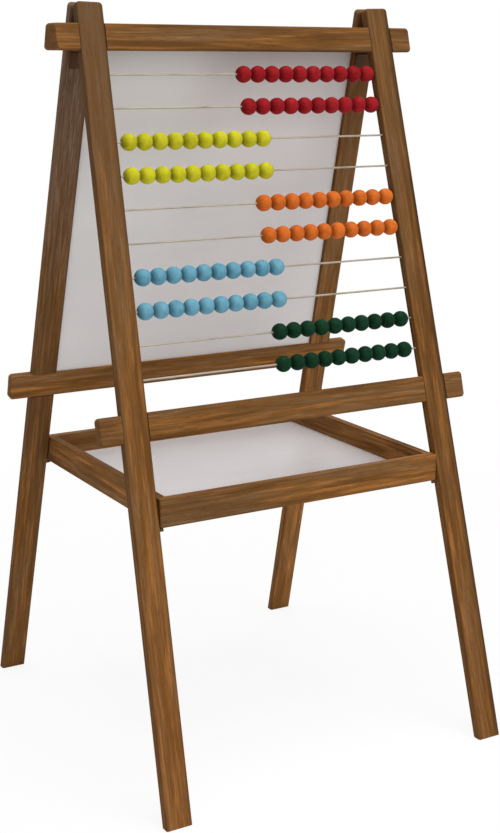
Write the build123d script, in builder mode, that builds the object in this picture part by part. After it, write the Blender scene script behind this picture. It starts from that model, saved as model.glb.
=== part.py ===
"""Kids easel: an A-frame of two leg frames with a bead abacus, a white board and a tray.

Millimetres, +Z up. The origin is on the floor, midway between the four feet.
The abacus frame stands at -Y, which is the front, and the board frame at +Y.
"""

import math
import os

from build123d import *

# Driving dimensions of the two leg frames
leg_length = 1189.0  # up the slope, from the floor to the top end
leg_width = 41.5
stock_thickness = 15.5  # of the legs and rails
top_rail_height = 38.0
cross_rail_height = 41.5
rail_overhang = 36.5  # of each rail's end past the leg
foot_width = 606.0  # between the outer edges of two feet, on the floor
head_width = 541.0  # between the outer edges of two legs, at their tops
foot_depth = 667.0  # between the outer faces of the front and rear feet
head_gap = 1.5  # between the front and rear leg tops
head_rise = 31.5  # of the leg tops above the top rail
cross_rail_drop = 66.8  # down the slope, from the last rod to the middle of the cross rails
edge_radius = 3.0
corner_radius = 6.0  # at the rounded ends of the legs and rails
lap_clearance = 0.1  # each side of a rail in its half lap

# Abacus
rod_diameter = 3.0
rod_seat = 12.0  # depth of a rod's hole in the leg
rod_fit = 0.05  # radial, and at the rod's end
first_rod_drop = 33.8  # below the top rail
rod_pitch = 47.5  # from rod to rod, measured upright
bead_diameter = 25.7
bead_flat_diameter = 6.4  # of the flats around the bore
bead_play = 0.2  # between two beads pushed together
bead_bore_fit = 0.2  # radial, on the rod
beads_per_row = 10
# Each row: its name, the side it is pushed to and the gap left to that leg
bead_rows = [
    ("red_beads_upper", "right", 0.4),
    ("red_beads_lower", "right", 0.4),
    ("yellow_beads_upper", "left", 8.5),
    ("yellow_beads_lower", "left", 7.1),
    ("orange_beads_upper", "right", 0.4),
    ("orange_beads_lower", "right", 0.8),
    ("blue_beads_upper", "left", 6.7),
    ("blue_beads_lower", "left", 4.9),
    ("green_beads_upper", "right", 8.3),
    ("green_beads_lower", "right", 10.6),
]

# Board
board_thickness = 5.0
board_groove = 6.0  # depth of its groove in the legs and the rail
groove_fit = 0.2  # around a panel in its groove
board_top_drop = 20.0  # of the board's top edge below the top rail's top

# Tray
tray_drop = 144.2  # of the tray's bottom below the middle of the cross rails
tray_side_gap = 1.6  # between the tray and the legs, at the tray's top edge
tray_rail_thickness = 15.0
tray_rail_height = 43.0
tray_edge_radius = 1.5
tray_panel_thickness = 4.0
tray_panel_rise = 5.0  # of the panel's underside above the tray's bottom
tray_groove = 5.0
peg_diameter = 5.0
peg_seat = 14.0  # depth of a peg in the leg
peg_setback = 8.75  # of a peg's middle behind the leg's outer face
peg_overlap = 5.0  # of a peg under the tray
peg_gap = 0.3  # between a peg and the tray

# Hinges under the top rail
hinge_width = 28.0
leaf_thickness = 1.5
leaf_length = 24.0
barrel_diameter = 6.0
barrel_gap = 0.2  # between the barrel and the wood
knuckle_gap = 0.3
hinge_pin_diameter = 3.0
hinge_pin_fit = 0.05
pin_head_diameter = 4.6
pin_head_thickness = 1.0
fold_gap = 0.3  # between the top rail and the rear legs
screw_diameter = 3.0
screw_head_diameter = 6.0
screw_length = 13.0
screw_fit = 0.05
screw_spacing = 14.0
screw_setback = 15.0  # from the hinge's axis

# Dowels
dowel_fit = 0.05
tray_dowel_diameter = 6.0
tray_dowel_seat = 10.0  # depth in the front or rear rail
tray_dowel_length = 30.0
tray_dowel_spacing = 16.0

# Slopes that follow from the sizes
reach = (foot_depth - head_gap) / 2
lean = math.asin(reach / math.hypot(leg_length, stock_thickness)) - math.atan2(stock_thickness, leg_length)
splay = math.atan2((foot_width - head_width) / 2, leg_length)
lean_sine = math.sin(lean)
lean_cosine = math.cos(lean)
lean_slope = math.tan(lean)

lap_depth = stock_thickness / 2
head_height = leg_length * lean_cosine
top_rail_top = head_height - head_rise
top_rail_bottom = top_rail_top - top_rail_height

left = -1
right = 1
front = -1
rear = 1
sides = {"left": left, "right": right}
along_x = (0, 90, 0)  # turns a cylinder's axis to X

front_plane = Plane(origin=(0, -foot_depth / 2, 0), x_dir=(1, 0, 0), z_dir=(0, -lean_cosine, lean_sine))
rear_plane = Plane(origin=(0, foot_depth / 2, 0), x_dir=(-1, 0, 0), z_dir=(0, lean_cosine, lean_sine))


def outer_half_depth(height):
    """From the middle of the easel to the outer face of a leg frame."""
    return foot_depth / 2 - height * lean_slope


def inner_half_depth(height):
    """From the middle of the easel to the inner face of a leg frame."""
    return outer_half_depth(height) - stock_thickness / lean_cosine


def slope_at(height, depth):
    """Distance up a frame's slope of a point at this height, at a depth below the outer face."""
    return (height + depth * lean_sine) / lean_cosine


def outer_half_width(slope):
    """From the middle of the easel to the outer edge of a leg, at this distance up the slope."""
    return foot_width / 2 - slope * math.tan(splay)


def inner_half_width(slope):
    """From the middle of the easel to the inner edge of a leg, at this distance up the slope."""
    return outer_half_width(slope) - leg_width / math.cos(splay)


def leg_plane(frame, side):
    """Plane of a leg's outer face, with its origin at the foot's outer corner and +Y up the leg."""
    spread = Location((side * foot_width / 2, 0, 0), (0, 0, side * math.degrees(splay)))
    return Plane(frame.location * spread)


def limited(radius, wall):
    """A round-over that leaves some flat on the wall that it is cut on."""
    return min(radius, 0.45 * wall)


def export(part, label):
    part.label = label
    export_step(part, f"parts/{label}.step")


os.makedirs("parts", exist_ok=True)

# Places that several pieces share
rod_heights = [top_rail_bottom - first_rod_drop - row * rod_pitch for row in range(len(bead_rows))]
rod_depth = stock_thickness / 2
rod_slopes = [slope_at(height, rod_depth) for height in rod_heights]
rod_places = [front_plane.from_local_coords((0, slope, -rod_depth)) for slope in rod_slopes]
cross_rail_slope = rod_slopes[-1] - cross_rail_drop
cross_rail_length = 2 * (outer_half_width(cross_rail_slope) + rail_overhang)
top_rail_slope = slope_at((top_rail_top + top_rail_bottom) / 2, 0)
top_rail_length = 2 * (outer_half_width(top_rail_slope) + rail_overhang)
bead_length = math.sqrt(bead_diameter**2 - bead_flat_diameter**2)

barrel_offset = barrel_diameter / 2 + barrel_gap
hinge_height = top_rail_bottom - barrel_offset
hinge_depth = inner_half_depth(hinge_height) - barrel_offset / lean_cosine
hinge_slope = slope_at(hinge_height, stock_thickness + barrel_offset)
hinge_centre = inner_half_width(hinge_slope) + leg_width / 2

tray_bottom = cross_rail_slope * lean_cosine - tray_drop
tray_top = tray_bottom + tray_rail_height
tray_middle = (tray_bottom + tray_top) / 2
tray_floor = tray_bottom + tray_panel_rise + tray_panel_thickness
tray_half_width = inner_half_width(slope_at(tray_top, stock_thickness)) - tray_side_gap
tray_half_depth = outer_half_depth(tray_middle)
tray_inner_width = tray_half_width - tray_rail_thickness
tray_inner_depth = tray_half_depth - tray_rail_thickness

peg_height = tray_bottom - peg_gap - peg_diameter / 2
peg_slope = slope_at(peg_height, peg_setback)
peg_depth = outer_half_depth(peg_height) - peg_setback / lean_cosine
peg_outer = inner_half_width(peg_slope) + peg_seat
peg_inner = tray_half_width - peg_overlap

board_bottom = cross_rail_slope + cross_rail_height / 2 - board_groove
board_top = slope_at(top_rail_top - board_top_drop, stock_thickness / 2)


def screw_places_on_rail(side):
    """Planes on the underside of the fixed leaf, pointing up into the top rail."""
    level = top_rail_bottom - leaf_thickness
    row = [side * hinge_centre - screw_spacing / 2, side * hinge_centre + screw_spacing / 2]
    return [Plane((x, hinge_depth - screw_setback, level), x_dir=(1, 0, 0), z_dir=(0, 0, 1)) for x in row]


def screw_places_on_leg(side):
    """Planes on the face of the moving leaf, pointing into the rear leg."""
    level = -stock_thickness - leaf_thickness
    row = [-side * hinge_centre - screw_spacing / 2, -side * hinge_centre + screw_spacing / 2]
    points = [rear_plane.from_local_coords((x, hinge_slope - screw_setback, level)) for x in row]
    return [Plane(point, x_dir=rear_plane.x_dir, z_dir=rear_plane.z_dir) for point in points]


def tray_dowel_places():
    """Planes on the inner faces of the tray's front and rear rails, pointing into the side rails."""
    middle = (tray_floor + tray_top) / 2
    centre = tray_half_width - tray_rail_thickness / 2
    heights = [middle - tray_dowel_spacing / 2, middle + tray_dowel_spacing / 2]
    return [
        Plane((side * centre, end * tray_inner_depth, height), x_dir=(1, 0, 0), z_dir=(0, -end, 0))
        for side in (left, right)
        for end in (front, rear)
        for height in heights
    ]


def screw_shape(grow, mode):
    """A countersunk screw, or its hole when grown, along +Z of the current places."""
    head = screw_head_diameter / 2
    shank = screw_diameter / 2
    base = (Align.CENTER, Align.CENTER, Align.MIN)
    Cone(head + grow, shank + grow, head - shank, align=base, mode=mode)
    Cylinder(shank + grow, screw_length + grow, align=base, mode=mode)


def dowel_shape(radius, back, ahead, mode):
    """A dowel, or its hole, from behind the current places to ahead of them."""
    with Locations((0, 0, (ahead - back) / 2)):
        Cylinder(radius, ahead + back, mode=mode)


def tray_dowel_shape(grow, mode):
    ahead = tray_dowel_length - tray_dowel_seat
    dowel_shape(tray_dowel_diameter / 2 + grow, tray_dowel_seat + grow, ahead + grow, mode)


def make_board(grow):
    """The board in the rear frame, or the room for its edges when grown."""
    thickness = board_thickness + 2 * grow
    low = board_bottom - grow
    high = board_top + grow
    bottom = inner_half_width(low) + board_groove - groove_fit + grow
    top = inner_half_width(high) + board_groove - groove_fit + grow
    with BuildPart() as board:
        with BuildSketch(rear_plane.offset(-(stock_thickness - thickness) / 2)):
            with BuildLine():
                Polyline((-bottom, low), (bottom, low), (top, high), (-top, high), close=True)
            make_face()
        extrude(amount=-thickness)
    return board


def rod_shape(row, grow, mode):
    """A rod of the abacus, or its holes in the legs when grown."""
    length = 2 * (inner_half_width(rod_slopes[row]) + rod_seat - rod_fit + grow)
    with Locations(rod_places[row]):
        Cylinder(rod_diameter / 2 + grow, length, rotation=along_x, mode=mode)


def peg_shape(end, grow, mode):
    """The two tray pegs of a leg frame, or their holes when grown."""
    length = peg_outer - peg_inner + 2 * grow
    for side in (left, right):
        with Locations((side * (peg_outer + peg_inner) / 2, end * peg_depth, peg_height)):
            Cylinder(peg_diameter / 2 + grow, length, rotation=along_x, mode=mode)


def panel_shape(grow, mode):
    """The tray's floor, or the grooves that hold it when grown."""
    width = 2 * (tray_inner_width + tray_groove - groove_fit + grow)
    depth = 2 * (tray_inner_depth + tray_groove - groove_fit + grow)
    with Locations((0, 0, tray_floor - tray_panel_thickness / 2)):
        Box(width, depth, tray_panel_thickness + 2 * grow, mode=mode)


def make_wedge(depth, grow):
    """What the top rail fills between the frames, from a depth behind the front legs' outer faces."""
    low = top_rail_bottom - grow
    high = top_rail_top + grow
    ahead = depth / lean_cosine
    behind = fold_gap / lean_cosine
    with BuildPart() as wedge:
        with BuildSketch(Plane.YZ.offset(-top_rail_length / 2)):
            with BuildLine():
                Polyline(
                    (ahead - outer_half_depth(low), low),
                    (inner_half_depth(low) - behind, low),
                    (inner_half_depth(high) - behind, high),
                    (ahead - outer_half_depth(high), high),
                    close=True,
                )
            make_face()
        extrude(amount=top_rail_length)
    return wedge


def lap_shape(frame, slope, height, mode):
    """The outer half of both legs of a frame, where they cross a rail."""
    for side in (left, right):
        with Locations(leg_plane(frame, side)):
            with Locations((-side * leg_width / 2, slope)):
                Box(leg_width + 2 * lap_clearance, 2 * height, 2 * lap_depth, mode=mode)


# Legs: flat boards, level at the floor, rounded at the top and half lapped for the rails
top_rail_room = make_wedge(lap_depth, lap_clearance).part


def front_leg_cuts():
    for row in range(len(bead_rows)):
        rod_shape(row, rod_fit, Mode.SUBTRACT)
    peg_shape(front, dowel_fit, Mode.SUBTRACT)
    add(top_rail_room, mode=Mode.SUBTRACT)


board_room = make_board(groove_fit).part


def rear_leg_cuts():
    add(board_room, mode=Mode.SUBTRACT)
    peg_shape(rear, dowel_fit, Mode.SUBTRACT)
    with Locations(screw_places_on_leg(left), screw_places_on_leg(right)):
        screw_shape(screw_fit, Mode.SUBTRACT)


def make_leg(frame, side, cuts):
    board = leg_plane(frame, side)
    spare = leg_width  # below the floor, and trimmed off level
    along = Axis(board.origin, board.y_dir)
    with BuildPart() as leg:
        with BuildSketch(board):
            with Locations((-side * leg_width / 2, (leg_length - spare) / 2)):
                Rectangle(leg_width, leg_length + spare)
        extrude(amount=-stock_thickness)
        top_corners = leg.edges().filter_by(Axis(board.origin, board.z_dir)).group_by(along)[-1]
        fillet(top_corners, limited(corner_radius, leg_width))
        fillet(leg.faces().filter_by(board).edges(), limited(edge_radius, stock_thickness))
        split(bisect_by=Plane.XY, keep=Keep.TOP)
        with BuildSketch(frame.offset(-stock_thickness)):
            with Locations((0, cross_rail_slope)):
                Rectangle(cross_rail_length, cross_rail_height + 2 * lap_clearance)
        extrude(amount=lap_depth, mode=Mode.SUBTRACT)
        cuts()
    return leg


# A frame seen from outside has its own left and right, so the rear frame's are turned round
legs = [
    ("front_leg_left", front_plane, left, front_leg_cuts),
    ("front_leg_right", front_plane, right, front_leg_cuts),
    ("rear_leg_left", rear_plane, right, rear_leg_cuts),
    ("rear_leg_right", rear_plane, left, rear_leg_cuts),
]
for label, frame, side, cuts in legs:
    export(make_leg(frame, side, cuts).part, label)


# Cross rails: half lapped into the inner side of the legs, with rounded ends past them
def make_cross_rail(frame, grooved):
    with BuildPart() as rail:
        with BuildSketch(frame):
            with Locations((0, cross_rail_slope)):
                Rectangle(cross_rail_length, cross_rail_height)
        extrude(amount=-stock_thickness)
        end_corners = rail.edges().filter_by(Axis(frame.origin, frame.z_dir))
        fillet(end_corners, limited(corner_radius, cross_rail_height))
        fillet(rail.faces().filter_by(frame).edges(), limited(edge_radius, stock_thickness))
        lap_shape(frame, cross_rail_slope, cross_rail_height, Mode.SUBTRACT)
        if grooved:
            add(board_room, mode=Mode.SUBTRACT)
    return rail


export(make_cross_rail(front_plane, grooved=False).part, "front_cross_rail")
export(make_cross_rail(rear_plane, grooved=True).part, "rear_cross_rail")

# Top rail: a wedge, half lapped into the front legs, that the rear legs lean on
with BuildPart() as top_rail:
    add(make_wedge(0, 0).part)
    fillet(top_rail.edges().filter_by(Axis.Y), limited(corner_radius, top_rail_height))
    long_faces = top_rail.faces().filter_by(front_plane) + top_rail.faces().filter_by(rear_plane)
    fillet(long_faces.edges(), limited(edge_radius, stock_thickness))
    lap_shape(front_plane, top_rail_slope, top_rail_height, Mode.SUBTRACT)
    with Locations(screw_places_on_rail(left), screw_places_on_rail(right)):
        screw_shape(screw_fit, Mode.SUBTRACT)
export(top_rail.part, "top_rail")

# Abacus rods and their beads
for row in range(len(bead_rows)):
    with BuildPart() as rod:
        rod_shape(row, 0, Mode.ADD)
    export(rod.part, f"abacus_rod_{row + 1}")

with BuildPart() as bead:
    bead_flat = bead_flat_diameter / 2
    bead_bore = rod_diameter / 2 + bead_bore_fit
    with BuildSketch(Plane.XY):
        with BuildLine():
            bulge = ThreePointArc(
                (-bead_length / 2, bead_flat), (0, bead_diameter / 2), (bead_length / 2, bead_flat)
            )
            Polyline(bulge @ 1, (bead_length / 2, bead_bore), (-bead_length / 2, bead_bore), bulge @ 0)
        make_face()
    revolve(axis=Axis.X)

bead_pitch = bead_length + bead_play
for row, (label, pushed_to, gap) in enumerate(bead_rows):
    side = sides[pushed_to]
    reach_x = inner_half_width(rod_slopes[row])
    first = reach_x - gap - bead_length / 2
    with BuildPart() as beads:
        for place in range(beads_per_row):
            with Locations(rod_places[row] + Vector(side * (first - place * bead_pitch), 0, 0)):
                add(bead.part)
    export(beads.part, label)
    travel = 2 * reach_x - 2 * gap - beads_per_row * bead_pitch + bead_play
    print(f"{label}: pushed {pushed_to}, gap {gap:.1f}, free travel to the same gap {travel:.1f}")

# Board in the grooves of the rear frame
export(make_board(0).part, "white_board")


# Tray: four rails doweled at the corners, round a panel in their grooves
def make_tray_rail(width, depth, place, along):
    with BuildPart() as rail:
        with Locations(place):
            Box(width, depth, tray_rail_height)
        fillet(rail.edges().filter_by(along), limited(tray_edge_radius, tray_rail_thickness))
        panel_shape(groove_fit, Mode.SUBTRACT)
        with Locations(tray_dowel_places()):
            tray_dowel_shape(dowel_fit, Mode.SUBTRACT)
    return rail


for end, label in ((front, "tray_front_rail"), (rear, "tray_rear_rail")):
    middle = end * (tray_half_depth - tray_rail_thickness / 2)
    rail = make_tray_rail(2 * tray_half_width, tray_rail_thickness, (0, middle, tray_middle), Axis.X)
    export(rail.part, label)

for side, label in ((left, "tray_left_rail"), (right, "tray_right_rail")):
    middle = side * (tray_half_width - tray_rail_thickness / 2)
    rail = make_tray_rail(tray_rail_thickness, 2 * tray_inner_depth, (middle, 0, tray_middle), Axis.Y)
    export(rail.part, label)

with BuildPart() as tray_panel:
    panel_shape(0, Mode.ADD)
export(tray_panel.part, "tray_panel")

with BuildPart() as tray_dowels:
    with Locations(tray_dowel_places()):
        tray_dowel_shape(0, Mode.ADD)
export(tray_dowels.part, "tray_corner_dowels")

for end, label in ((front, "front_tray_pegs"), (rear, "rear_tray_pegs")):
    with BuildPart() as pegs:
        peg_shape(end, 0, Mode.ADD)
    export(pegs.part, label)

# Butt hinges between the top rail's underside and the rear legs
knuckle_length = (hinge_width - 2 * knuckle_gap) / 3
knuckle_step = knuckle_length + knuckle_gap
middle_knuckle = [0]
outer_knuckles = [-knuckle_step, knuckle_step]


def barrel_shape(side, offsets, grow, mode):
    """Knuckles of a hinge, or the room that they need when grown."""
    for offset in offsets:
        with Locations((side * hinge_centre + offset, hinge_depth, hinge_height)):
            Cylinder(barrel_diameter / 2 + grow, knuckle_length + 2 * grow, rotation=along_x, mode=mode)


def pin_hole(side):
    with Locations((side * hinge_centre, hinge_depth, hinge_height)):
        Cylinder(hinge_pin_diameter / 2 + hinge_pin_fit, hinge_width, rotation=along_x, mode=Mode.SUBTRACT)


def make_rail_leaf(side):
    with BuildPart() as leaf:
        with Locations((side * hinge_centre, hinge_depth, top_rail_bottom)):
            Box(hinge_width, leaf_length, leaf_thickness, align=(Align.CENTER, Align.MAX, Align.MAX))
        barrel_shape(side, middle_knuckle, knuckle_gap, Mode.SUBTRACT)
        barrel_shape(side, outer_knuckles, 0, Mode.ADD)
        pin_hole(side)
        with Locations(screw_places_on_rail(side)):
            screw_shape(screw_fit, Mode.SUBTRACT)
    return leaf


def make_leg_leaf(side):
    with BuildPart() as leaf:
        with BuildSketch(rear_plane.offset(-stock_thickness)):
            with Locations((-side * hinge_centre, hinge_slope - leaf_length / 2)):
                Rectangle(hinge_width, leaf_length)
        extrude(amount=-leaf_thickness)
        barrel_shape(side, outer_knuckles, knuckle_gap, Mode.SUBTRACT)
        barrel_shape(side, middle_knuckle, 0, Mode.ADD)
        pin_hole(side)
        with Locations(screw_places_on_leg(side)):
            screw_shape(screw_fit, Mode.SUBTRACT)
    return leaf


def make_hinge_pin(side):
    head_step = (hinge_width + pin_head_thickness) / 2
    with BuildPart() as pin:
        with Locations((side * hinge_centre, hinge_depth, hinge_height)):
            Cylinder(hinge_pin_diameter / 2, hinge_width, rotation=along_x)
            with Locations((-head_step, 0, 0), (head_step, 0, 0)):
                Cylinder(pin_head_diameter / 2, pin_head_thickness, rotation=along_x)
    return pin


for name, side in sides.items():
    export(make_rail_leaf(side).part, f"hinge_rail_leaf_{name}")
    export(make_leg_leaf(side).part, f"hinge_leg_leaf_{name}")
    export(make_hinge_pin(side).part, f"hinge_pin_{name}")

for places, label in ((screw_places_on_rail, "hinge_rail_screws"), (screw_places_on_leg, "hinge_leg_screws")):
    with BuildPart() as screws:
        with Locations(places(left), places(right)):
            screw_shape(0, Mode.ADD)
    export(screws.part, label)

print(f"lean {math.degrees(lean):.3f} degrees, splay {math.degrees(splay):.3f} degrees, height {head_height:.1f}")
print(f"fold axis along X at y {hinge_depth:.3f}, z {hinge_height:.3f}; flat at {2 * math.degrees(lean):.2f} degrees")
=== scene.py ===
import math

import bpy
import numpy as np
from mathutils import Matrix, Vector


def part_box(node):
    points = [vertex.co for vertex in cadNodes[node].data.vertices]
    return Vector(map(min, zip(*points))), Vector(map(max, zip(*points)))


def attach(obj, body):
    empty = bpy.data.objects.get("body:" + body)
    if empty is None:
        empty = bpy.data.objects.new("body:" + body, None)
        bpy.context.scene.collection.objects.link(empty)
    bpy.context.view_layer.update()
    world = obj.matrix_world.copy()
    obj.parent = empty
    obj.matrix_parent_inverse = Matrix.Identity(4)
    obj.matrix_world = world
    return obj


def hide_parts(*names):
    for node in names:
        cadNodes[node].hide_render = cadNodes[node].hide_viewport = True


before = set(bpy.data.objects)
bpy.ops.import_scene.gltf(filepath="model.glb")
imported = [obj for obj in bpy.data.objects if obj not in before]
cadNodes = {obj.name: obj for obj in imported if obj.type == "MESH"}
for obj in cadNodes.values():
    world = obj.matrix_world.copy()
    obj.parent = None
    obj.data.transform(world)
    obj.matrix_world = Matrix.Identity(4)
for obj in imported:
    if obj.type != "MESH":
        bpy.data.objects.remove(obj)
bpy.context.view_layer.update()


# small helpers for node trees: a node with its sockets set or linked, and the outputs most in use
def put(tree, kind, sockets=None, **settings):
    node = tree.nodes.new(kind)
    for key, value in settings.items():
        setattr(node, key, value)
    for key, value in (sockets or {}).items():
        if isinstance(value, bpy.types.NodeSocket):
            tree.links.new(value, node.inputs[key])
        else:
            node.inputs[key].default_value = value
    return node


def calc(tree, operation, *values):
    return put(tree, "ShaderNodeMath", dict(enumerate(values)), operation=operation).outputs[0]


def vectorCalc(tree, operation, *values):
    return put(tree, "ShaderNodeVectorMath", dict(enumerate(values)), operation=operation).outputs


def blendColour(tree, factor, first, second):
    return put(tree, "ShaderNodeMix", {0: factor, 6: first, 7: second}, data_type="RGBA").outputs[2]


def scaleColour(tree, colour, factor):
    return put(tree, "ShaderNodeVectorMath", {0: colour, 3: factor}, operation="SCALE").outputs[0]


# goes smoothly from the first of the levels to the second while the value crosses the band
def fade(tree, value, band, levels=(0.0, 1.0)):
    sockets = dict(enumerate((value, *band, *levels)))
    return put(tree, "ShaderNodeMapRange", sockets, interpolation_type="SMOOTHSTEP").outputs[0]


# a noise: its cycles per metre on the three axes, which are a board's own in walnut, a shift that sets it
# apart from the other noises of its material, and how detailed, rough and warped it is
def layer(stretch, shift, detail, rough, warp=0.0):
    return dict(stretch=stretch, shift=shift, detail=detail, rough=rough, warp=warp)


def streaks(tree, place, seed, noise):
    stretched = vectorCalc(tree, "MULTIPLY", place, noise["stretch"])[0]
    sockets = {"Vector": stretched, "W": seed + noise["shift"], "Scale": 1.0, "Detail": noise["detail"],
               "Roughness": noise["rough"], "Distortion": noise["warp"]}
    return put(tree, "ShaderNodeTexNoise", sockets, noise_dimensions="4D").outputs[0]


# 1 for rays from the camera and for what gloss and glass mirror, 0 for the light that falls on things
def seenDirectly(tree):
    path = put(tree, "ShaderNodeLightPath").outputs
    mirrored = calc(tree, "MAXIMUM", path["Is Glossy Ray"], path["Is Transmission Ray"])
    return calc(tree, "MAXIMUM", path["Is Camera Ray"], mirrored)


def emptyMaterial(name):
    material = bpy.data.materials.new(name)
    material.use_nodes = True
    material.node_tree.nodes.clear()
    return material, material.node_tree


def startMaterial(name):
    material, tree = emptyMaterial(name)
    shader = put(tree, "ShaderNodeBsdfPrincipled")
    put(tree, "ShaderNodeOutputMaterial", {"Surface": shader.outputs[0]})
    return material, tree, shader


def addBump(tree, shader, height, strength, distance):
    bump = put(tree, "ShaderNodeBump", {"Strength": strength, "Distance": distance, "Height": height})
    tree.links.new(bump.outputs[0], shader.inputs["Normal"])


def dress(nodeName, material):
    slots = cadNodes[nodeName].data.materials
    slots.clear()
    slots.append(material)


# walnut stain: grain that runs along each board, with rings seen as arcs on its ends
# a band is where a noise fades in, a share is how much of the darker or greyer colour it then takes
walnut = dict(
    dark=(0.108, 0.046, 0.0125, 1), mid=(0.238, 0.100, 0.0256, 1), light=(0.345, 0.140, 0.0335, 1),
    # head and foot are the colours of the painted shade at a leg's head and the painted light at its foot
    grey=(0.205, 0.118, 0.0560, 1), head=(0.135, 0.082, 0.0420, 1), foot=(0.350, 0.128, 0.0290, 1),
    pore=(0.034, 0.015, 0.0050, 1),
    broad=layer((5.5, 105.0, 105.0), 0.0, 3.0, 0.55, 0.35), broadBand=(0.39, 0.62),
    cloud=layer((4.2, 52.0, 52.0), 11.7, 2.0, 0.5), cloudBand=(0.38, 0.66), cloudShare=0.80,
    mottle=layer((17.0, 200.0, 200.0), 19.3, 3.0, 0.6, 0.5), mottleBand=(0.38, 0.64), mottleShare=0.56,
    fibre=layer((15.0, 620.0, 620.0), 7.3, 3.0, 0.6), fibreBand=(0.34, 0.66), fibreShare=0.56,
    pores=layer((60.0, 1500.0, 1500.0), 3.1, 1.0, 0.5), poreBand=(0.62, 0.72), poreShare=0.55,
    ring=dict(scale=46.0, squeeze=0.07, warp=5.0, detail=2.0, detailScale=0.6, rough=0.5),
    ringBand=(0.55, 1.0), ringShare=0.34,
    footFrom=0.1,           # metres above a leg's middle, where the red of its foot starts
    driftBand=(-0.3, 0.4),  # in lengths of the board, from its middle
    sideBand=(0.4, 0.9), shadeInset=0.001,
    arrisInset=(0.0046, 0.0003), arrisShare=0.18,
    endBand=(0.55, 0.9), endShare=0.50,
    roughBand=(0.3, 0.7), roughness=(0.66, 0.52), poreRoughness=0.12, specular=0.03,
    fibreHeight=0.5, poreDepth=0.8, bump=(0.22, 0.0006))


# growth rings about a pith that lies beside the board, drawn out along it
def growthRings(tree, local, board):
    ring = walnut["ring"]
    fromPith = vectorCalc(tree, "ADD", local, (0.0, *board["pith"]))[0]
    drawnOut = vectorCalc(tree, "MULTIPLY", fromPith, (ring["squeeze"], 1.0, 1.0))[0]
    sockets = {"Vector": drawnOut, "Scale": ring["scale"], "Distortion": ring["warp"],
               "Detail": ring["detail"], "Detail Scale": ring["detailScale"],
               "Detail Roughness": ring["rough"], "Phase Offset": board["seed"]}
    return put(tree, "ShaderNodeTexWave", sockets, wave_type="RINGS", rings_direction="X",
               wave_profile="SAW").outputs["Fac"]


# broad stripes, slow clouds of grey, short mottling, rings, fine fibres and dark pores, in that order
def grainColour(tree, local, lengthwise, board, fibre, poreMask):
    broad, cloud, mottle = (streaks(tree, local, board["seed"], walnut[key])
                            for key in ("broad", "cloud", "mottle"))
    ramp = put(tree, "ShaderNodeValToRGB", {"Fac": fade(tree, broad, walnut["broadBand"])})
    ramp.color_ramp.elements[0].color = walnut["dark"]
    ramp.color_ramp.elements[1].color = walnut["light"]
    ramp.color_ramp.elements.new(0.5).color = walnut["mid"]
    clouded = fade(tree, cloud, walnut["cloudBand"], (0.0, walnut["cloudShare"]))
    colour = blendColour(tree, clouded, ramp.outputs[0], walnut["grey"])
    # painted light and shade along the legs: brighter and redder towards the foot, darker and greyer towards
    # the head, and on the rear left leg paler at the head
    if "headLightingShare" in board:
        half = board["length"] / 2
        paintedFootLight = fade(tree, lengthwise, (-half, walnut["footFrom"]), (board["footLightShare"], 0.0))
        colour = blendColour(tree, paintedFootLight, colour, walnut["foot"])
        paintedHeadLighting = fade(tree, lengthwise, (0.0, half), (0.0, board["headLightingShare"]))
        colour = blendColour(tree, paintedHeadLighting, colour, board.get("head", walnut["head"]))
    mottled = fade(tree, mottle, walnut["mottleBand"], (walnut["mottleShare"], 0.0))
    colour = blendColour(tree, mottled, colour, walnut["dark"])
    lateWood = fade(tree, growthRings(tree, local, board), walnut["ringBand"])
    colour = blendColour(tree, calc(tree, "MULTIPLY", lateWood, walnut["ringShare"]), colour, walnut["dark"])
    fibrous = fade(tree, fibre, walnut["fibreBand"], (walnut["fibreShare"], 0.0))
    colour = blendColour(tree, fibrous, colour, walnut["dark"])
    return blendColour(tree, calc(tree, "MULTIPLY", poreMask, walnut["poreShare"]), colour, walnut["pore"])


# each board has its own tone, which may drift from end to end; its narrow sides take painted shade, and where
# set, painted shade darkens one long edge
def boardTone(tree, places, sideways, board):
    drift = [share * board["tone"] for share in board.get("drift", (1.0, 1.0))]
    tone = fade(tree, places[0], [share * board["length"] for share in walnut["driftBand"]], drift)
    paintedSideShade = fade(tree, sideways, walnut["sideBand"], (1.0, board.get("sides", 1.0)))
    tone = calc(tree, "MULTIPLY", tone, paintedSideShade)
    if "shaded" in board:
        edgeSide, reach, depth = board["shaded"]  # which long edge, how far in, and how dark it gets
        half = board["width"] / 2
        towards = calc(tree, "MULTIPLY", places[1], edgeSide)
        shade = fade(tree, towards, (half - reach, half - walnut["shadeInset"]), (1.0, depth))
        tone = calc(tree, "MULTIPLY", tone, shade)
    return tone


# the rounded arrises, where two of a board's three sides are near
def arrisMask(tree, places, board):
    near = []
    for place, size in zip(places, (board["length"], board["width"], board["thick"])):
        band = [size / 2 - inset for inset in walnut["arrisInset"]]
        near.append(fade(tree, calc(tree, "ABSOLUTE", place), band))
    pairs = [calc(tree, "MULTIPLY", near[a], near[b]) for a, b in ((1, 2), (0, 1), (0, 2))]
    return calc(tree, "MAXIMUM", calc(tree, "MAXIMUM", pairs[0], pairs[1]), pairs[2])


# how squarely a surface faces a direction or its opposite
def facing(tree, normal, direction):
    return calc(tree, "ABSOLUTE", vectorCalc(tree, "DOT_PRODUCT", normal, direction)["Value"])


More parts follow.
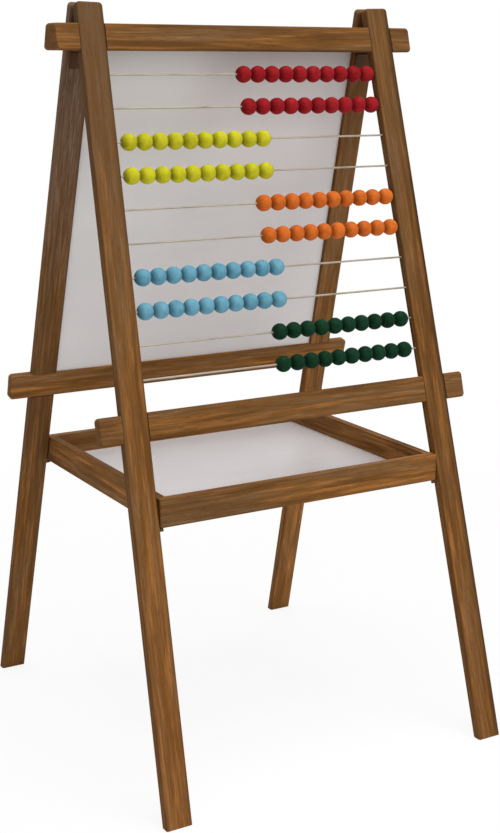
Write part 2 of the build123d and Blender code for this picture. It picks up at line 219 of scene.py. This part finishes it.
def walnutStain(name, board):
    along, across = Vector(board["along"]).normalized(), Vector(board["across"]).normalized()
    turn = Matrix((along, across, along.cross(across))).transposed().to_euler()
    material, tree, shader = startMaterial(name)
    spot = put(tree, "ShaderNodeTexCoord").outputs
    mapping = {"Vector": spot["Object"], "Location": board["centre"], "Rotation": turn}
    local = put(tree, "ShaderNodeMapping", mapping, vector_type="TEXTURE").outputs[0]
    places = put(tree, "ShaderNodeSeparateXYZ", {0: local}).outputs  # along, across and through the board
    fibre = streaks(tree, local, board["seed"], walnut["fibre"])
    poreMask = fade(tree, streaks(tree, local, board["seed"], walnut["pores"]), walnut["poreBand"])
    colour = grainColour(tree, local, places[0], board, fibre, poreMask)
    tone = boardTone(tree, places, facing(tree, spot["Normal"], across), board)
    colour = scaleColour(tree, colour, tone)
    # the rounded arrises are darkened, and end grain drinks more of the stain
    arris = calc(tree, "MULTIPLY", arrisMask(tree, places, board), walnut["arrisShare"])
    colour = blendColour(tree, arris, colour, walnut["pore"])
    ends = fade(tree, facing(tree, spot["Normal"], along), walnut["endBand"])
    colour = blendColour(tree, calc(tree, "MULTIPLY", ends, walnut["endShare"]), colour, walnut["dark"])
    tree.links.new(colour, shader.inputs["Base Color"])
    satin = fade(tree, fibre, walnut["roughBand"], walnut["roughness"])
    dull = calc(tree, "MULTIPLY", poreMask, walnut["poreRoughness"])
    tree.links.new(calc(tree, "ADD", satin, dull), shader.inputs["Roughness"])
    shader.inputs["Specular IOR Level"].default_value = walnut["specular"]
    raised = calc(tree, "MULTIPLY", fibre, walnut["fibreHeight"])
    sunk = calc(tree, "MULTIPLY", poreMask, walnut["poreDepth"])
    addBump(tree, shader, calc(tree, "SUBTRACT", raised, sunk), *walnut["bump"])
    return material


# slopes of the two leg frames, which the grain follows, and the flat stock they are made of
easel = dict(lean=math.radians(15.503), splay=math.radians(1.566), legWidth=0.0415, stock=0.0155,
             legLength=1.189, footWidth=0.606, footDepth=0.667, levelCut=0.02)
leanSin, leanCos = math.sin(easel["lean"]), math.cos(easel["lean"])
splaySin, splayCos = math.sin(easel["splay"]), math.cos(easel["splay"])

# legs: up the lean, and in at the splay; end is -1 at the front, side is -1 at the left
# each leg also takes painted light and shade towards its head, painted light towards its foot and painted
# shade on its narrow sides; the front legs also take painted shade along one long edge
legGrain = {
    "front_leg_left": dict(end=-1, side=-1, seed=1.4, tone=1.20, headLightingShare=1.0, footLightShare=0.42, sides=0.74,
                           shaded=(1, 0.007, 0.72), head=(0.112, 0.071, 0.0400, 1), pith=(0.045, 0.060)),
    "front_leg_right": dict(end=-1, side=1, seed=23.9, tone=1.05, headLightingShare=0.55, footLightShare=0.35, sides=0.74,
                            shaded=(-1, 0.015, 0.50), pith=(-0.030, 0.075)),
    "rear_leg_left": dict(end=1, side=-1, seed=41.2, tone=1.0, headLightingShare=1.0, footLightShare=0.06, sides=0.86,
                          head=(0.290, 0.206, 0.156, 1), pith=(0.060, 0.050)),
    "rear_leg_right": dict(end=1, side=1, seed=57.6, tone=1.42, headLightingShare=0.60, footLightShare=0.20, sides=0.74,
                           pith=(0.025, -0.080))}
for nodeName, leg in legGrain.items():
    climb = Vector((0, -leg["end"] * leanSin, leanCos))
    inwards = Vector((-leg["side"], 0, 0))
    outFace = Vector((0, leg["end"] * leanCos, leanSin))
    along = climb * splayCos + inwards * splaySin
    across = inwards * splayCos - climb * splaySin
    foot = Vector((leg["side"] * easel["footWidth"] / 2, leg["end"] * easel["footDepth"] / 2, 0))
    centre = foot + along * easel["legLength"] / 2
    centre += across * easel["legWidth"] / 2 - outFace * easel["stock"] / 2
    # the length takes in the level cut of the foot, so that no arris is darkened across it
    dress(nodeName, walnutStain(nodeName + "Walnut", dict(
        leg, centre=centre, along=along, across=across, length=easel["legLength"] + easel["levelCut"],
        width=easel["legWidth"], thick=easel["stock"])))

# cross rails: along X, turned with the lean of their leg frame
crossGrain = {"front_cross_rail": dict(end=-1, seed=71.3, tone=1.08, pith=(0.050, 0.040)),
              "rear_cross_rail": dict(end=1, seed=83.8, tone=1.54, pith=(-0.040, 0.060))}
for nodeName, rail in crossGrain.items():
    low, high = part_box(nodeName)
    dress(nodeName, walnutStain(nodeName + "Walnut", dict(
        rail, centre=(low + high) / 2, along=(1, 0, 0), across=(0, -rail["end"] * leanSin, leanCos),
        length=high.x - low.x, width=easel["legWidth"], thick=easel["stock"])))

# rails that stand square, with their width upright
railGrain = {"top_rail": dict(along=(1, 0, 0), seed=97.5, tone=0.98, pith=(0.070, 0.030)),
             "tray_front_rail": dict(along=(1, 0, 0), seed=113.2, tone=1.05, drift=(1.0, 1.32),
                                     pith=(0.055, 0.050)),
             "tray_rear_rail": dict(along=(1, 0, 0), seed=129.7, tone=1.55, pith=(-0.045, 0.055)),
             "tray_left_rail": dict(along=(0, 1, 0), seed=141.1, tone=1.24, pith=(0.050, -0.065)),
             "tray_right_rail": dict(along=(0, 1, 0), seed=157.4, tone=1.50, pith=(-0.060, 0.045))}
for nodeName, rail in railGrain.items():
    low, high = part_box(nodeName)
    thick, length = sorted((high - low).xy)
    dress(nodeName, walnutStain(nodeName + "Walnut", dict(
        rail, centre=(low + high) / 2, across=(0, 0, 1), length=length, width=high.z - low.z, thick=thick)))
print("walnut on", len(legGrain) + len(crossGrain) + len(railGrain), "boards")

# raw beech of the hidden dowels: pale, with short dark flecks along each dowel
beech = dict(base=(0.62, 0.43, 0.25, 1), fleck=(0.40, 0.25, 0.13, 1), seed=9.0,
             flecks=layer((900.0, 60.0, 900.0), 0.0, 3.0, 0.6), fleckBand=(0.45, 0.75),
             roughness=0.7, bump=(0.2, 0.0004))


def rawBeech(name):
    material, tree, shader = startMaterial(name)
    spot = put(tree, "ShaderNodeTexCoord").outputs["Object"]
    flecks = streaks(tree, spot, beech["seed"], beech["flecks"])
    colour = blendColour(tree, fade(tree, flecks, beech["fleckBand"]), beech["base"], beech["fleck"])
    tree.links.new(colour, shader.inputs["Base Color"])
    shader.inputs["Roughness"].default_value = beech["roughness"]
    addBump(tree, shader, flecks, *beech["bump"])
    return material


dress("tray_corner_dowels", rawBeech("trayDowelBeech"))

# white faced panels: satin melamine with faint clouds, wipe marks and a fine orange peel; the board also has
# a painted shadow under the top rail
melamine = dict(clouds=layer((5.0, 5.0, 5.0), 0.0, 3.0, 0.55), cloudBand=(0.35, 0.7), markBand=(0.5, 0.75),
                peel=layer((900.0, 900.0, 900.0), 9.0, 1.0, 0.5), frontBand=(-0.5, 0.0),
                roughBand=(0.35, 0.75), roughness=(0.34, 0.50), specular=0.3, bump=(0.08, 0.0002))
panels = {"white_board": dict(base=(0.780, 0.756, 0.754, 1), shade=(0.585, 0.560, 0.550, 1), seed=2.0,
                              marks=layer((3.0, 14.0, 14.0), 5.0, 3.0, 0.6, 0.8), markShare=0.12,
                              cloudShare=0.14, railShadowBand=(1.022, 1.080), railShadowShare=0.9),
          "tray_panel": dict(base=(0.900, 0.877, 0.887, 1), shade=(0.842, 0.820, 0.830, 1), seed=6.0,
                             marks=layer((4.0, 16.0, 16.0), 5.0, 3.0, 0.6, 0.8), markShare=0.35,
                             cloudShare=0.45)}


def whiteMelamine(name, panel):
    material, tree, shader = startMaterial(name)
    spot = put(tree, "ShaderNodeTexCoord").outputs
    clouds = streaks(tree, spot["Object"], panel["seed"], melamine["clouds"])
    marks = streaks(tree, spot["Object"], panel["seed"], panel["marks"])
    peel = streaks(tree, spot["Object"], panel["seed"], melamine["peel"])
    tint = calc(tree, "ADD", fade(tree, clouds, melamine["cloudBand"], (0.0, panel["cloudShare"])),
                fade(tree, marks, melamine["markBand"], (0.0, panel["markShare"])))
    # painted shadow of the top rail on the board's front, just under the rail
    if "railShadowBand" in panel:
        height = put(tree, "ShaderNodeSeparateXYZ", {0: spot["Object"]}).outputs[2]
        rearwards = put(tree, "ShaderNodeSeparateXYZ", {0: spot["Normal"]}).outputs[1]
        railShadow = calc(tree, "MULTIPLY", fade(tree, height, panel["railShadowBand"], (0.0, panel["railShadowShare"])),
                    fade(tree, rearwards, melamine["frontBand"], (1.0, 0.0)))
        tint = calc(tree, "ADD", tint, railShadow)
    tree.links.new(blendColour(tree, tint, panel["base"], panel["shade"]), shader.inputs["Base Color"])
    satin = fade(tree, marks, melamine["roughBand"], melamine["roughness"])
    tree.links.new(satin, shader.inputs["Roughness"])
    shader.inputs["Specular IOR Level"].default_value = melamine["specular"]
    addBump(tree, shader, peel, *melamine["bump"])
    return material


for nodeName, panel in panels.items():
    dress(nodeName, whiteMelamine(nodeName + "Melamine", panel))

# metal with fine lines along X: drawn brass of the rods, in patches of tarnish, and the bronzed steel of
# the hinges and tray pegs, brown and rubbed brighter in places
brass = dict(base=(0.385, 0.335, 0.265, 1), patch=(0.250, 0.213, 0.163, 1), metallic=0.35, specular=0.5,
             patches=layer((28.0, 160.0, 160.0), 3.0, 3.0, 0.6), patchBand=(0.42, 0.72),
             lines=layer((6.0, 2600.0, 2600.0), 0.0, 2.0, 0.6), lineBand=(0.3, 0.7),
             roughness=(0.30, 0.46), bump=(0.12, 0.0001))
bronze = dict(base=(0.098, 0.049, 0.018, 1), patch=(0.150, 0.080, 0.034, 1), metallic=0.15, specular=0.15,
              patches=layer((160.0, 160.0, 160.0), 4.0, 4.0, 0.65), patchBand=(0.52, 0.78),
              lines=layer((60.0, 1500.0, 1500.0), 0.0, 2.0, 0.6), lineBand=(0.3, 0.7),
              roughness=(0.36, 0.52), bump=(0.12, 0.0001))


def linedMetal(name, metal, seed):
    material, tree, shader = startMaterial(name)
    spot = put(tree, "ShaderNodeTexCoord").outputs["Object"]
    lines = streaks(tree, spot, seed, metal["lines"])
    patches = fade(tree, streaks(tree, spot, seed, metal["patches"]), metal["patchBand"])
    tree.links.new(blendColour(tree, patches, metal["base"], metal["patch"]), shader.inputs["Base Color"])
    tree.links.new(fade(tree, lines, metal["lineBand"], metal["roughness"]), shader.inputs["Roughness"])
    shader.inputs["Metallic"].default_value = metal["metallic"]
    shader.inputs["Specular IOR Level"].default_value = metal["specular"]
    addBump(tree, shader, lines, *metal["bump"])
    return material


rodBrass = linedMetal("rodBrass", brass, 1.0)
hingeBronze = linedMetal("hingeBronze", bronze, 3.0)
pegBronze = linedMetal("pegBronze", bronze, 8.0)
for nodeName in cadNodes:
    if nodeName.startswith("abacus_rod_"):
        dress(nodeName, rodBrass)
    elif nodeName.startswith("hinge_"):
        dress(nodeName, hingeBronze)
    elif nodeName.endswith("_pegs"):
        dress(nodeName, pegBronze)
print("panels, rods, hinges and pegs dressed")


def newPiece(name, points, quads, material):
    mesh = bpy.data.meshes.new(name)
    mesh.from_pydata(points.tolist(), [], quads.tolist())
    mesh.polygons.foreach_set("use_smooth", np.ones(len(quads), bool))
    mesh.materials.append(material)
    mesh.update()
    piece = bpy.data.objects.new(name, mesh)
    bpy.context.scene.collection.objects.link(piece)
    return piece


def setAttribute(piece, name, values):
    attribute = piece.data.attributes.new(name, "FLOAT", "POINT")
    attribute.data.foreach_set("value", np.ascontiguousarray(values, np.float32))


# bead: a turned ball with a small flat round its bore at each end
bead = dict(diameter=0.0257, flat=0.0064, bore=0.0034, boreRound=0.0004, count=10, pitch=0.02509, around=36,
            arc=19, lip=4, slim=0.012, seed=40)


# outline in the half plane of rod and radius: along the ball from flat to flat, in over the rounded
# bore edge, and back through the bore, so that the turned surface is closed like a ring
def beadOutline():
    radius, flat, bore = bead["diameter"] / 2, bead["flat"] / 2, bead["bore"] / 2
    start = math.asin(flat / radius)
    sweep = np.linspace(start, math.pi - start, bead["arc"])
    ball = np.stack([-radius * np.cos(sweep), radius * np.sin(sweep)], axis=-1)
    half = radius * math.cos(start)
    corner = np.linspace(0, math.pi / 2, bead["lip"])
    lip = np.stack([half - bead["boreRound"] * (1 - np.cos(corner)),
                    bore + bead["boreRound"] * (1 - np.sin(corner))], axis=-1)
    flatMid = np.array([[half, (flat + bore) / 2]])
    rightEnd = np.concatenate([flatMid, lip])
    leftEnd = rightEnd[::-1] * np.array([-1.0, 1.0])
    return np.concatenate([ball, rightEnd, leftEnd])


# a grid of points that closes on itself both ways, as quads
def closedGrid(rows, columns):
    i, j = np.meshgrid(np.arange(rows), np.arange(columns), indexing="ij")
    nextRow, nextColumn = (i + 1) % rows, (j + 1) % columns
    return np.stack([i * columns + j, i * columns + nextColumn, nextRow * columns + nextColumn,
                     nextRow * columns + j], axis=-1).reshape(-1, 4)


# each bead is the outline turned about the rod, moved along it by the pitch; rim goes from 0 at a bead's
# girth to 1 at its flats
def beadRowPoints(first, centre, rng):
    outline = beadOutline()
    turn = np.linspace(0, 2 * math.pi, bead["around"], endpoint=False)
    count = bead["count"]
    shape = (count, len(outline), len(turn))
    fat = 1 + rng.uniform(-bead["slim"], 0.0, count)  # turned by hand tools, so some are slimmer
    onBall = np.where(outline[:, 1] > bead["flat"] / 2 + 1e-6, 1.0, 0.0)  # flats and bore keep their size
    radius = outline[None, :, 1] * (1 + onBall[None, :] * (fat[:, None] - 1))
    shift = first + bead["pitch"] * np.arange(count)
    x = np.broadcast_to(outline[:, None, 0], shape) + shift[:, None, None]
    y = radius[:, :, None] * np.cos(turn) + centre.y
    z = radius[:, :, None] * np.sin(turn) + centre.z
    points = np.stack([x, y, z], axis=-1)
    rim = np.broadcast_to((np.abs(outline[:, 0]) / outline[:, 0].max())[None, :, None], shape)
    firstPoints = np.arange(count) * len(outline) * len(turn)
    quads = closedGrid(len(outline), len(turn))[None] + firstPoints[:, None, None]
    return points.reshape(-1, 3), quads.reshape(-1, 4), rim.reshape(-1)


# satin paint: mottled, deeper on some beads, with painted shade between neighbours, and rubbed thin round the
# bore
beadPaint = {"red": dict(base=(0.335, 0.014, 0.018, 1), deep=(0.190, 0.006, 0.009, 1), seed=10.0),
             "yellow": dict(base=(0.560, 0.525, 0.022, 1), deep=(0.370, 0.345, 0.013, 1), seed=16.0),
             "orange": dict(base=(0.660, 0.160, 0.024, 1), deep=(0.450, 0.096, 0.014, 1), seed=22.0),
             "blue": dict(base=(0.152, 0.360, 0.460, 1), deep=(0.088, 0.245, 0.338, 1), seed=28.0),
             "green": dict(base=(0.009, 0.045, 0.020, 1), deep=(0.004, 0.022, 0.010, 1), seed=34.0)}
beadFinish = dict(
    mottle=layer((130.0, 130.0, 130.0), 0.0, 4.0, 0.6), mottleBand=(0.35, 0.7), mottleShare=0.60,
    turned=layer((2400.0, 120.0, 120.0), 3.0, 2.0, 0.5), mottleHeight=1.5, bump=(0.10, 0.0003),
    toneShare=0.40, jointShadeBand=(0.35, 1.0), jointShade=0.62,
    wood=(0.46, 0.30, 0.16, 1), chips=layer((900.0, 900.0, 900.0), 8.0, 2.0, 0.5), chipBand=(0.50, 0.62),
    chipShare=0.35, wornBand=(0.970, 0.995),
    roughBand=(0.3, 0.7), roughness=(0.42, 0.56), specular=0.03)


def satinPaint(name, paint):
    material, tree, shader = startMaterial(name)
    spot = put(tree, "ShaderNodeTexCoord").outputs["Object"]
    tone = put(tree, "ShaderNodeAttribute", attribute_name="beadTone").outputs["Fac"]
    rim = put(tree, "ShaderNodeAttribute", attribute_name="beadRim").outputs["Fac"]
    mottle, turned, chips = (streaks(tree, spot, paint["seed"], beadFinish[key])
                             for key in ("mottle", "turned", "chips"))
    depth = calc(tree, "ADD", calc(tree, "MULTIPLY", tone, beadFinish["toneShare"]),
                 fade(tree, mottle, beadFinish["mottleBand"], (0.0, beadFinish["mottleShare"])))
    colour = blendColour(tree, depth, paint["base"], paint["deep"])
    # painted shade: each bead darker towards its flats, where its neighbours meet it
    jointShade = fade(tree, rim, beadFinish["jointShadeBand"], (1.0, beadFinish["jointShade"]))
    colour = scaleColour(tree, colour, jointShade)
    worn = calc(tree, "MULTIPLY", fade(tree, rim, beadFinish["wornBand"]),
                fade(tree, chips, beadFinish["chipBand"], (0.0, beadFinish["chipShare"])))
    colour = blendColour(tree, worn, colour, beadFinish["wood"])
    tree.links.new(colour, shader.inputs["Base Color"])
    satin = fade(tree, mottle, beadFinish["roughBand"], beadFinish["roughness"])
    tree.links.new(satin, shader.inputs["Roughness"])
    shader.inputs["Specular IOR Level"].default_value = beadFinish["specular"]
    height = calc(tree, "ADD", turned, calc(tree, "MULTIPLY", mottle, beadFinish["mottleHeight"]))
    addBump(tree, shader, height, *beadFinish["bump"])
    return material


paints = {name: satinPaint(name + "Paint", paint) for name, paint in beadPaint.items()}
for row, nodeName in enumerate(sorted(n for n in cadNodes if "beads" in n)):
    colourName, _, level = nodeName.split("_")
    low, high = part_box(nodeName)
    rng = np.random.default_rng(bead["seed"] + row)
    halfBead = (high.x - low.x - bead["pitch"] * (bead["count"] - 1)) / 2
    points, quads, rim = beadRowPoints(low.x + halfBead, (low + high) / 2, rng)
    piece = newPiece(f"{colourName}Beads{level.title()}", points, quads, paints[colourName])
    setAttribute(piece, "beadRim", rim)
    setAttribute(piece, "beadTone", np.repeat(rng.uniform(0, 1, bead["count"]), len(points) // bead["count"]))
    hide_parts(nodeName)
    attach(piece, nodeName)
print("ten bead rows turned and painted")

# floor: a pale plane that keeps the shadow and goes white with distance
floorPlane = dict(half=14.0, z=-0.0004, cells=8, pale=(0.93, 0.93, 0.93, 1), lift=0.86, liftBand=(0.7, 2.0))


# a level grid of points at x = u * half, y = v * half, with u and v from -1 to 1
def floorGrid():
    half, cells = floorPlane["half"], floorPlane["cells"]
    u, v = np.meshgrid(np.linspace(-1, 1, cells + 1), np.linspace(-1, 1, cells + 1), indexing="ij")
    points = np.stack([u * half, v * half, np.full_like(u, floorPlane["z"])], axis=-1)
    i, j = np.meshgrid(np.arange(cells), np.arange(cells), indexing="ij")
    corner = i * (cells + 1) + j
    quads = np.stack([corner, corner + cells + 1, corner + cells + 2, corner + 1], axis=-1)
    return points.reshape(-1, 3), quads.reshape(-1, 4)


def floorPaint(name):
    material, tree = emptyMaterial(name)
    spot = put(tree, "ShaderNodeTexCoord").outputs["Object"]
    distance = vectorCalc(tree, "LENGTH", spot)["Value"]
    lift = fade(tree, distance, floorPlane["liftBand"], (floorPlane["lift"], 1.0))
    matte = put(tree, "ShaderNodeBsdfDiffuse", {"Color": floorPlane["pale"]}).outputs[0]
    white = put(tree, "ShaderNodeEmission", {"Color": (1, 1, 1, 1), "Strength": 1.0}).outputs[0]
    lifted = calc(tree, "MULTIPLY", seenDirectly(tree), lift)
    mixed = put(tree, "ShaderNodeMixShader", {0: lifted, 1: matte, 2: white}).outputs[0]
    put(tree, "ShaderNodeOutputMaterial", {"Surface": mixed})
    return material


floor = newPiece("floor", *floorGrid(), floorPaint("paleFloor"))

# light: a soft ambient world, white where it is seen, and two large softboxes
ambient = dict(level=0.62)
world = bpy.data.worlds.new("studio")
bpy.context.scene.world = world
world.use_nodes = True
worldTree = world.node_tree
worldTree.nodes.clear()
seenRest = calc(worldTree, "MULTIPLY", seenDirectly(worldTree), 1.0 - ambient["level"])
worldLevel = calc(worldTree, "ADD", ambient["level"], seenRest)
sky = put(worldTree, "ShaderNodeBackground", {"Color": (1, 1, 1, 1), "Strength": worldLevel})
put(worldTree, "ShaderNodeOutputWorld", {"Surface": sky.outputs[0]})

softboxes = {"overheadSoftbox": dict(place=(0.0, -0.6, 3.2), aim=(0, 0, 0.4), size=2.0, power=54.0),
             "frontSoftbox": dict(place=(0.9, -2.9, 0.95), aim=(0, 0, 0.45), size=1.8, power=14.0)}
for name, box in softboxes.items():
    lamp = bpy.data.lights.new(name, "AREA")
    lamp.shape = "SQUARE"
    lamp.size = box["size"]
    lamp.energy = box["power"]
    softbox = bpy.data.objects.new(name, lamp)
    softbox.location = box["place"]
    softbox.rotation_euler = (Vector(box["aim"]) - Vector(box["place"])).to_track_quat("-Z", "Y").to_euler()
    bpy.context.scene.collection.objects.link(softbox)
print("floor and light set")

# camera at the photograph's angle: turned about Z by the yaw, raised about X, then rolled; in degrees
view = dict(place=(-1.11553, -1.95884, 1.05670), yaw=-30.245, up=76.091, roll=0.077, lens=61.402, clipEnd=100)
cameraData = bpy.data.cameras.new("camera")
cameraData.lens = view["lens"]
cameraData.clip_end = view["clipEnd"]
camera = bpy.data.objects.new("camera", cameraData)
camera.location = view["place"]
aimed = Matrix.Identity(3)
for turnName, axis in (("yaw", "Z"), ("up", "X"), ("roll", "Z")):
    aimed = aimed @ Matrix.Rotation(math.radians(view[turnName]), 3, axis)
camera.rotation_euler = aimed.to_euler()
bpy.context.scene.collection.objects.link(camera)
bpy.context.scene.camera = camera
bpy.context.scene.view_settings.view_transform = "Standard"
